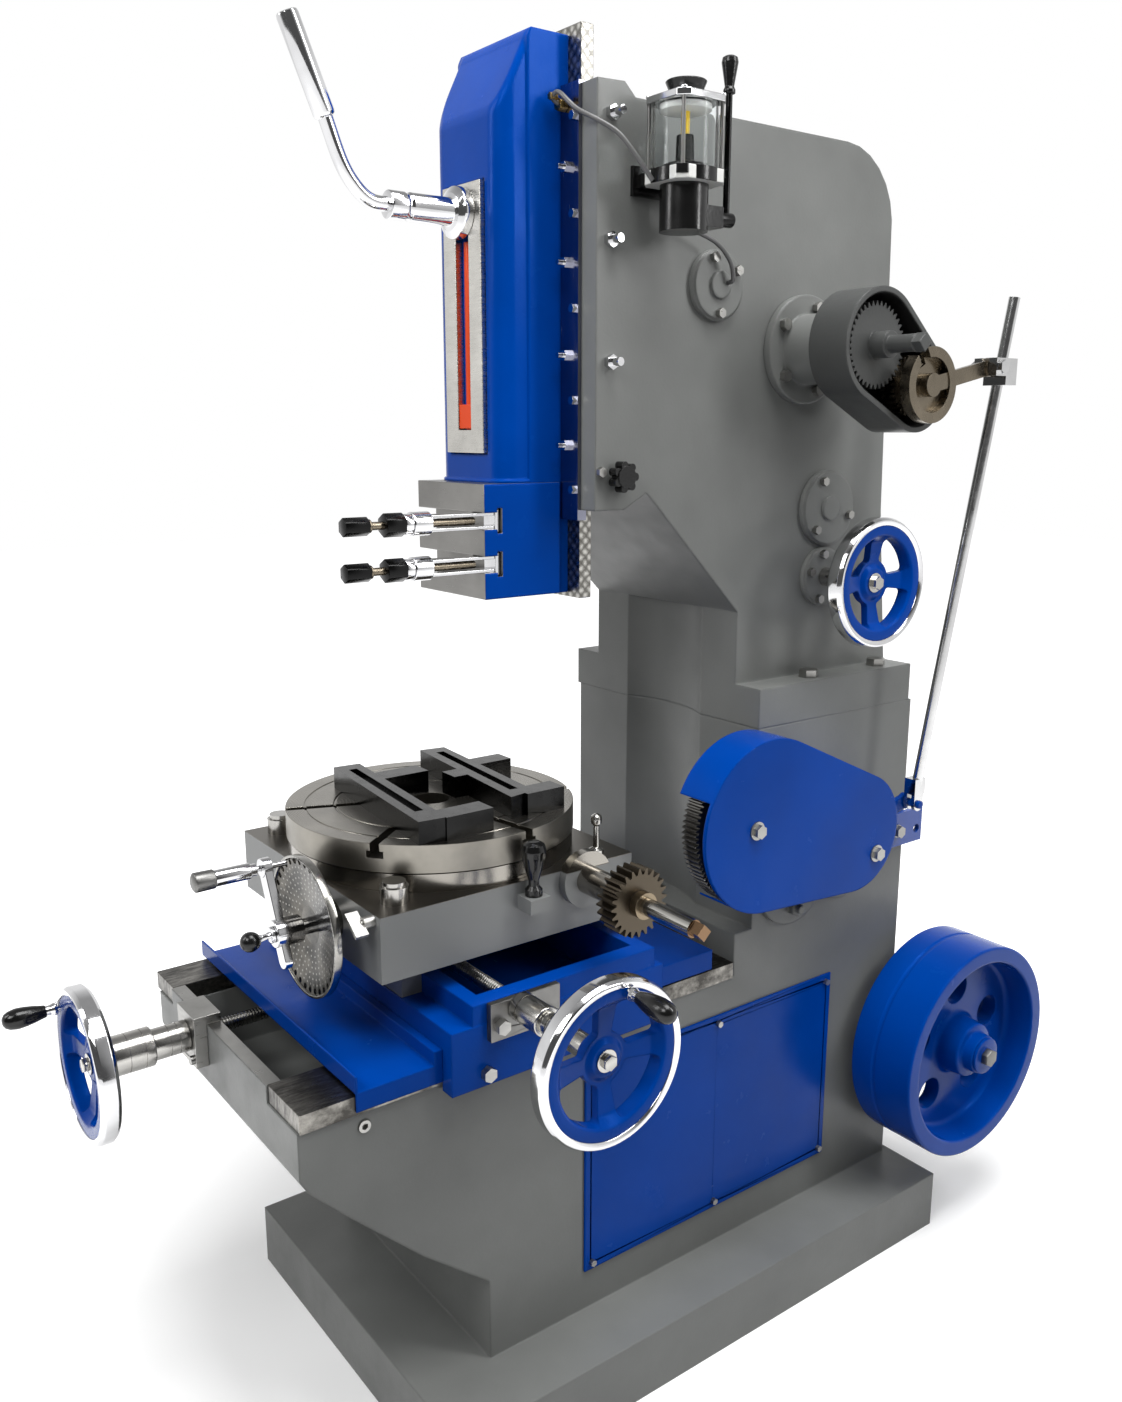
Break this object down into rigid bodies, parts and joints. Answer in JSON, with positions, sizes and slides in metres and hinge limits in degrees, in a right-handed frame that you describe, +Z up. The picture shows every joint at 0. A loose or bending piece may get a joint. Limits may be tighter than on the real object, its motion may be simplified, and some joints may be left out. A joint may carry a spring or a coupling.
{
  "type": "slotting machine",
  "caption": "Upright slotting machine: vertical ram in a column over a rotary table on cross slides, with handwheels, feed linkage and flywheel.",
  "frame": {"origin": "centre of the base plate's underside", "axes": "+Z up along the ram's stroke; -Y towards the front and the bed handwheel; +X towards the side with the feed linkage and flywheel"},
  "size_m": [0.895, 1.748, 2.051],
  "materials": {
    "grey_paint": "semi-gloss machine grey",
    "blue_paint": "glossy deep blue enamel",
    "ground_steel": "ground and scraped",
    "bright_steel": "turned and milled",
    "chrome_plate": "polished",
    "black_enamel": "black oxide and enamel",
    "clear_tube": "clear",
    "copper_alloy": "dull",
    "oiled_screw": "oiled, reddish"
  },
  "bodies": {
    "frame": {"base": "grey_paint", "bed_ways": "ground_steel", "side_panel": "blue_paint", "column": "grey_paint", "guide_strips": "ground_steel", "set_screws": "bright_steel", "frame_bolts": "bright_steel", "round_covers": "grey_paint", "pump_body": "black_enamel", "pump_glass": "clear_tube", "pump_caps": "bright_steel", "oil_pipes": "copper_alloy", "feed_flange": "grey_paint", "feed_case": "grey_paint", "gear_bracket": "grey_paint", "guard": "blue_paint", "fly_bracket": "grey_paint", "y_bearing": "grey_paint"},
    "star_lock": {"star_knob": "black_enamel"},
    "pump_handle": {"pump_lever": "black_enamel"},
    "feed_train": {"feed_gear": "ground_steel"},
    "feed_swing": {"feed_lever": "bright_steel"},
    "link": {"link_rod": "bright_steel"},
    "rocker": {"lower_arm": "black_enamel"},
    "driving_gear": {"big_gear": "ground_steel"},
    "driven_pinion": {"pinion": "ground_steel"},
    "column_drive": {"column_wheel": "blue_paint", "column_shaft": "bright_steel"},
    "fly": {"flywheel": "blue_paint", "fly_shaft": "bright_steel"},
    "ram": {"ram_body": "blue_paint", "ram_slide": "ground_steel", "slot_plate": "ground_steel", "tool_shackles": "bright_steel", "tool_screws": "black_enamel"},
    "stroke_thread": {"stroke_screw": "oiled_screw"},
    "stroke_block": {"stroke_nut": "ground_steel"},
    "ram_clamp": {"clamp_lever": "bright_steel"},
    "y_drive": {"y_wheel": "blue_paint", "y_shaft": "bright_steel"},
    "y_handle": {"y_grip": "chrome_plate"},
    "saddle_slide": {"saddle": "blue_paint", "trays": "blue_paint", "saddle_bolts": "bright_steel", "x_bearing": "grey_paint"},
    "x_drive": {"x_wheel": "blue_paint", "x_shaft": "bright_steel"},
    "x_handle": {"x_grip": "chrome_plate"},
    "table": {"table_housing": "grey_paint", "clamp_pillars": "bright_steel", "index_plate": "ground_steel"},
    "rotary": {"rotary_table": "ground_steel", "clamp_bars": "black_enamel"},
    "crank": {"index_crank": "bright_steel"},
    "plunger": {"index_handle": "chrome_plate"},
    "crank_lock": {"index_knob": "black_enamel"},
    "worm": {"worm_shaft": "bright_steel"},
    "pear_clamp": {"pear_handle": "black_enamel"},
    "table_lock": {"small_lever": "black_enamel"},
    "wing": {"wing_screw": "bright_steel"}
  },
  "joints": [
    {"name": "ram_stroke", "type": "slide", "parent": "frame", "child": "ram", "axis": [0, 0, 1], "range_m": [-0.19, 0.09]},
    {"name": "ram_clamp_turn", "type": "hinge", "parent": "ram", "child": "ram_clamp", "pos_m": [0, -0.3, 1.804], "axis": [0, 1, 0], "range_deg": [-60, 60]},
    {"name": "stroke_screw_turn", "type": "hinge", "parent": "ram", "child": "stroke_thread", "pos_m": [0, -0.268, 1.6], "axis": [0, 0, 1], "range_deg": [0, 8600]},
    {"name": "stroke_nut_travel", "type": "slide", "parent": "ram", "child": "stroke_block", "axis": [0, 0, 1], "range_m": [0, 0.1194]},
    {"name": "bed_wheel_turn", "type": "hinge", "parent": "frame", "child": "y_drive", "pos_m": [-0.123, -0.8, 0.602], "axis": [0, 1, 0], "range_deg": [-3950, 3950]},
    {"name": "saddle_travel", "type": "slide", "parent": "frame", "child": "saddle_slide", "axis": [0, 1, 0], "range_m": [-0.055, 0.055]},
    {"name": "bed_handle_spin", "type": "hinge", "parent": "y_drive", "child": "y_handle", "pos_m": [-0.201, -0.9, 0.664], "axis": [0, 1, 0], "continuous": true},
    {"name": "cross_wheel_turn", "type": "hinge", "parent": "saddle_slide", "child": "x_drive", "pos_m": [0.4, -0.376, 0.702], "axis": [1, 0, 0], "range_deg": [-7190, 7190]},
    {"name": "table_travel", "type": "slide", "parent": "saddle_slide", "child": "table", "axis": [1, 0, 0], "range_m": [-0.1, 0.1]},
    {"name": "cross_handle_spin", "type": "hinge", "parent": "x_drive", "child": "x_handle", "pos_m": [0.48, -0.352, 0.797], "axis": [1, 0, 0], "continuous": true},
    {"name": "table_turn", "type": "hinge", "parent": "table", "child": "rotary", "pos_m": [-0.045, -0.333, 0.9], "axis": [0, 0, 1], "continuous": true},
    {"name": "index_crank_turn", "type": "hinge", "parent": "table", "child": "crank", "pos_m": [0.05, -0.64, 0.806], "axis": [0, 1, 0], "continuous": true},
    {"name": "worm_shaft_turn", "type": "hinge", "parent": "table", "child": "worm", "pos_m": [0.3, -0.208, 0.835], "axis": [1, 0, 0], "continuous": true},
    {"name": "plunger_push", "type": "slide", "parent": "crank", "child": "plunger", "axis": [0, 1, 0], "range_m": [0, 0.006]},
    {"name": "crank_lock_turn", "type": "hinge", "parent": "crank", "child": "crank_lock", "pos_m": [0.05, -0.65, 0.806], "axis": [0, 1, 0], "range_deg": [-90, 90]},
    {"name": "pear_clamp_turn", "type": "hinge", "parent": "table", "child": "pear_clamp", "pos_m": [0.206, -0.31, 0.85], "axis": [0, 0, 1], "range_deg": [-60, 60]},
    {"name": "table_lock_turn", "type": "hinge", "parent": "table", "child": "table_lock", "pos_m": [0.171, -0.166, 0.86], "axis": [0, 0, 1], "range_deg": [-45, 45]},
    {"name": "wing_screw_turn", "type": "hinge", "parent": "table", "child": "wing", "pos_m": [0.17, -0.57, 0.843], "axis": [0, 1, 0], "range_deg": [-180, 180]},
    {"name": "column_wheel_turn", "type": "hinge", "parent": "frame", "child": "column_drive", "pos_m": [0.28, 0.323, 1.255], "axis": [1, 0, 0], "continuous": true},
    {"name": "flywheel_turn", "type": "hinge", "parent": "frame", "child": "fly", "pos_m": [0.3, 0.58, 0.367], "axis": [1, 0, 0], "continuous": true},
    {"name": "driving_gear_turn", "type": "hinge", "parent": "frame", "child": "driving_gear", "pos_m": [0.25, 0.088, 0.885], "axis": [1, 0, 0], "continuous": true},
    {"name": "pinion_turn", "type": "hinge", "parent": "frame", "child": "driven_pinion", "pos_m": [0.25, 0.29421, 0.82704], "axis": [1, 0, 0], "continuous": true},
    {"name": "feed_lever_swing", "type": "hinge", "parent": "frame", "child": "feed_swing", "pos_m": [0.32, 0.33999, 1.56798], "axis": [1, 0, 0], "range_deg": [-12, 12]},
    {"name": "feed_shaft_turn", "type": "hinge", "parent": "frame", "child": "feed_train", "pos_m": [0.31, 0.252, 1.626], "axis": [1, 0, 0], "range_deg": [-9, 9]},
    {"name": "rod_tilt", "type": "hinge", "parent": "feed_swing", "child": "link", "pos_m": [0.36, 0.48999, 1.59898], "axis": [1, 0, 0], "range_deg": [-12.5, 12.5]},
    {"name": "rocker_swing", "type": "hinge", "parent": "frame", "child": "rocker", "pos_m": [0.281, 0.29421, 0.82704], "axis": [1, 0, 0], "range_deg": [-12.5, 12.5]},
    {"name": "pump_lever_swing", "type": "hinge", "parent": "frame", "child": "pump_handle", "pos_m": [0.25, -0.03, 1.79], "axis": [0, 1, 0], "range_deg": [0, 50]},
    {"name": "star_knob_turn", "type": "hinge", "parent": "frame", "child": "star_lock", "pos_m": [0.18, -0.13, 1.433], "axis": [1, 0, 0], "range_deg": [-180, 180]}
  ],
  "couplings": [
    {"joint": "stroke_screw_turn", "follows": "stroke_nut_travel", "rad_per_m": 1256.6},
    {"joint": "saddle_travel", "follows": "bed_wheel_turn", "m_per_rad": -0.00079577},
    {"joint": "table_travel", "follows": "cross_wheel_turn", "m_per_rad": -0.00079577},
    {"joint": "index_crank_turn", "follows": "table_turn", "ratio": -40},
    {"joint": "worm_shaft_turn", "follows": "table_turn", "ratio": 40},
    {"joint": "pinion_turn", "follows": "driving_gear_turn", "ratio": -1.6842},
    {"joint": "feed_shaft_turn", "follows": "feed_lever_swing", "ratio": -0.7},
    {"joint": "rod_tilt", "follows": "feed_lever_swing", "ratio": -1},
    {"joint": "rocker_swing", "follows": "feed_lever_swing", "ratio": 1}
  ]
}
